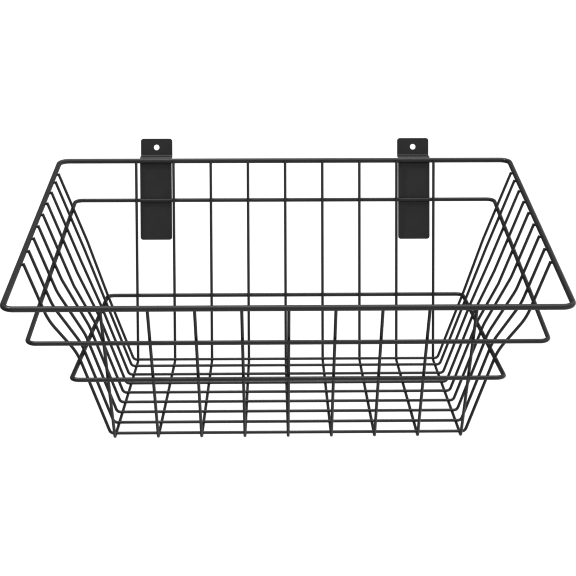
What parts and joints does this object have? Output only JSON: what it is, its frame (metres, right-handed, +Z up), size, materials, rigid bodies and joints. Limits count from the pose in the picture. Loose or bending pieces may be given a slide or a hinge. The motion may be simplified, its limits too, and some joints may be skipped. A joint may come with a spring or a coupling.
{
  "type": "slatwall wire basket",
  "caption": "Flared wire basket with a rim that slopes down to the front, outer rings, and flat steel brackets at the back that hang it on a slatwall.",
  "frame": {"origin": "on the standing surface under the floor wires, at the middle of the basket's bounding box", "axes": "+Z up, -Y towards the low front of the basket, +Y towards the wall brackets, +X to the right seen from the front"},
  "size_m": [0.6112, 0.5142, 0.2937],
  "materials": {
    "powder_coat": "satin black powder coat with a very fine texture"
  },
  "bodies": {
    "root": {"rim": "powder_coat", "middle_ring": "powder_coat", "lower_ring": "powder_coat", "cross_wire_1": "powder_coat", "cross_wire_2": "powder_coat", "cross_wire_3": "powder_coat", "cross_wire_4": "powder_coat", "cross_wire_5": "powder_coat", "cross_wire_6": "powder_coat", "cross_wire_7": "powder_coat", "cross_wire_8": "powder_coat", "cross_wire_9": "powder_coat", "long_wire_1": "powder_coat", "long_wire_2": "powder_coat", "long_wire_3": "powder_coat", "long_wire_4": "powder_coat", "long_wire_5": "powder_coat", "long_wire_6": "powder_coat", "long_wire_7": "powder_coat", "long_wire_8": "powder_coat", "long_wire_9": "powder_coat", "left_bracket": "powder_coat", "right_bracket": "powder_coat"}
  },
  "joints": []
}
